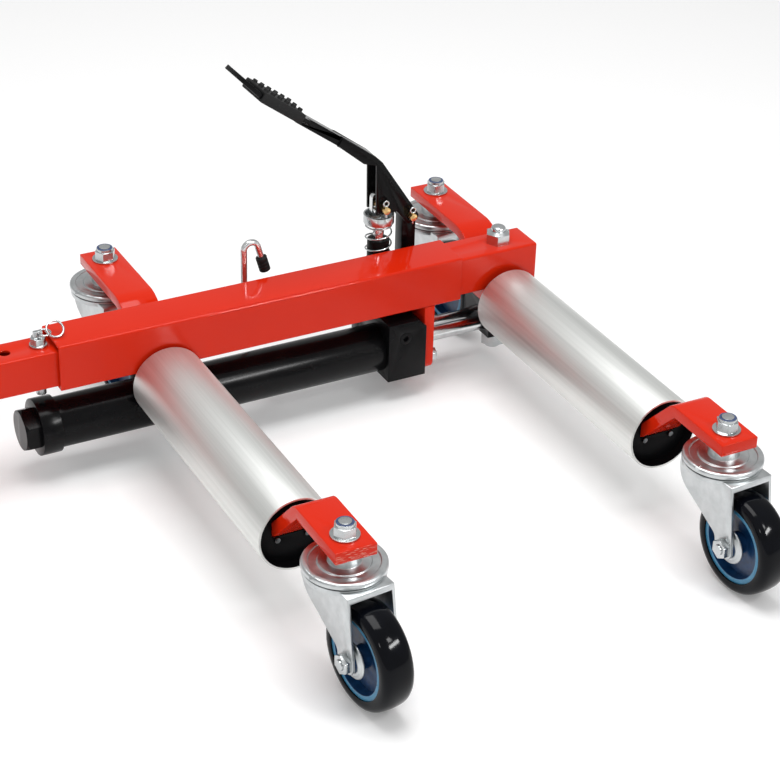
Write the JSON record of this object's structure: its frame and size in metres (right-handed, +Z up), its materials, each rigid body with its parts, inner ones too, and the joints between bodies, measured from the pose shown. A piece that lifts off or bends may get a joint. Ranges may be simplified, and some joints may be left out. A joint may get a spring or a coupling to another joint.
{
  "type": "vehicle positioning jack",
  "caption": "Hydraulic wheel dolly: a foot pump draws free rollers together under a tyre, lifting the wheel so the vehicle can be pushed in any direction on swivel casters.",
  "frame": {"origin": "centre of the overall box, on the floor the wheels stand on", "axes": "+X along the main tube towards the sliding arm, +Y from the open front towards the pump side, +Z up"},
  "size_m": [0.7342, 0.6952, 0.3794],
  "materials": {
    "red_paint": "glossy red paint",
    "black_paint": "satin black paint",
    "roller_aluminium": "satin drawn tube with lengthwise lines",
    "black_plastic": "moulded black",
    "zinc": "bright zinc plate",
    "steel": "ground and oiled",
    "hard_chrome": "polished hard chrome",
    "brass": "bright yellow plate",
    "rubber": "moulded matte",
    "tyre": "dark glossy polyurethane",
    "rim": "moulded blue"
  },
  "bodies": {
    "frame": {"main_tube": "red_paint", "left_arm": "red_paint", "left_rear_bracket": "red_paint", "cylinder_plate": "red_paint", "cylinder_tube": "black_paint", "cylinder_collar": "black_paint", "cylinder_end_nut": "black_paint", "pump_block": "black_paint", "block_screws": "zinc", "pump_barrel": "black_paint", "pedal_post": "black_paint", "left_roller_bushes": "black_plastic", "left_bush_screws": "zinc", "left_caster_heads": "zinc", "left_caster_fasteners": "zinc"},
    "slide": {"slide_tube": "red_paint", "right_arm": "red_paint", "right_rear_bracket": "red_paint", "arm_bolt": "zinc", "crosshead": "black_paint", "piston_rod": "hard_chrome", "piston": "steel", "guide_rod": "steel", "right_roller_bushes": "black_plastic", "right_bush_screws": "zinc", "right_caster_heads": "zinc", "right_caster_fasteners": "zinc"},
    "left_roller_body": {"left_roller": "roller_aluminium"},
    "right_roller_body": {"right_roller": "roller_aluminium"},
    "lock_bar_body": {"lock_bar": "red_paint", "lock_bar_cap": "black_plastic"},
    "lock_pin_body": {"lock_pin": "zinc", "lock_pin_rings": "zinc"},
    "pedal": {"pedal_lever": "black_paint", "pedal_pad": "rubber", "pivot_pin": "zinc", "link_pin": "brass", "pin_clips": "zinc"},
    "plunger": {"pump_plunger": "steel", "spring_cup": "zinc", "pump_spring": "steel"},
    "release": {"release_lever": "zinc", "release_grip": "rubber"},
    "near_left_swivel": {"near_left_fork": "zinc", "near_left_axle": "zinc"},
    "near_left_wheel": {"near_left_tyre": "tyre", "near_left_rim": "rim"},
    "far_left_swivel": {"far_left_fork": "zinc", "far_left_axle": "zinc"},
    "far_left_wheel": {"far_left_tyre": "tyre", "far_left_rim": "rim"},
    "near_right_swivel": {"near_right_fork": "zinc", "near_right_axle": "zinc"},
    "near_right_wheel": {"near_right_tyre": "tyre", "near_right_rim": "rim"},
    "far_right_swivel": {"far_right_fork": "zinc", "far_right_axle": "zinc"},
    "far_right_wheel": {"far_right_tyre": "tyre", "far_right_rim": "rim"}
  },
  "joints": [
    {"name": "arm_slide", "type": "slide", "parent": "frame", "child": "slide", "axis": [1, 0, 0], "range_m": [-0.03, 0.15]},
    {"name": "left_roller_turn", "type": "hinge", "parent": "frame", "child": "left_roller_body", "pos_m": [-0.0678, 0, 0.0921], "axis": [0, 1, 0], "continuous": true},
    {"name": "right_roller_turn", "type": "hinge", "parent": "slide", "child": "right_roller_body", "pos_m": [0.3286, 0, 0.0921], "axis": [0, 1, 0], "continuous": true},
    {"name": "lock_bar_pull", "type": "slide", "parent": "frame", "child": "lock_bar_body", "axis": [-1, 0, 0], "range_m": [0, 0.069]},
    {"name": "lock_pin_lift", "type": "slide", "parent": "lock_bar_body", "child": "lock_pin_body", "axis": [0, 0, 1], "range_m": [0, 0.07]},
    {"name": "pedal_press", "type": "hinge", "parent": "frame", "child": "pedal", "pos_m": [0.2385, 0.2135, 0.187], "axis": [0, -1, 0], "range_deg": [0, 30]},
    {"name": "plunger_stroke", "type": "slide", "parent": "frame", "child": "plunger", "axis": [0, 0, -1], "range_m": [0, 0.0182], "stiffness_N_per_m": 1200, "springref_m": -0.035, "deforming": ["pump_spring"]},
    {"name": "release_turn", "type": "hinge", "parent": "frame", "child": "release", "pos_m": [0.183, 0.2135, 0.075], "axis": [-1, 0, 0], "range_deg": [0, 45]},
    {"name": "near_left_swivel_turn", "type": "hinge", "parent": "frame", "child": "near_left_swivel", "pos_m": [-0.0678, -0.2542, 0.1], "axis": [0, 0, 1], "continuous": true},
    {"name": "near_left_wheel_turn", "type": "hinge", "parent": "near_left_swivel", "child": "near_left_wheel", "pos_m": [-0.06341, -0.29597, 0.051], "axis": [0.9945, 0.1045, 0], "continuous": true},
    {"name": "far_left_swivel_turn", "type": "hinge", "parent": "frame", "child": "far_left_swivel", "pos_m": [-0.0678, 0.3091, 0.1], "axis": [0, 0, 1], "continuous": true},
    {"name": "far_left_wheel_turn", "type": "hinge", "parent": "far_left_swivel", "child": "far_left_wheel", "pos_m": [-0.06414, 0.26726, 0.051], "axis": [0.9962, 0.0872, 0], "continuous": true},
    {"name": "near_right_swivel_turn", "type": "hinge", "parent": "slide", "child": "near_right_swivel", "pos_m": [0.3286, -0.2542, 0.1], "axis": [0, 0, 1], "continuous": true},
    {"name": "near_right_wheel_turn", "type": "hinge", "parent": "near_right_swivel", "child": "near_right_wheel", "pos_m": [0.33153, -0.2961, 0.051], "axis": [0.9976, 0.0698, 0], "continuous": true},
    {"name": "far_right_swivel_turn", "type": "hinge", "parent": "slide", "child": "far_right_swivel", "pos_m": [0.3286, 0.3091, 0.1], "axis": [0, 0, 1], "continuous": true},
    {"name": "far_right_wheel_turn", "type": "hinge", "parent": "far_right_swivel", "child": "far_right_wheel", "pos_m": [0.33226, 0.26726, 0.051], "axis": [0.9962, 0.0872, 0], "continuous": true}
  ],
  "couplings": [
    {"joint": "plunger_stroke", "follows": "pedal_press", "m_per_rad": 0.0346}
  ]
}
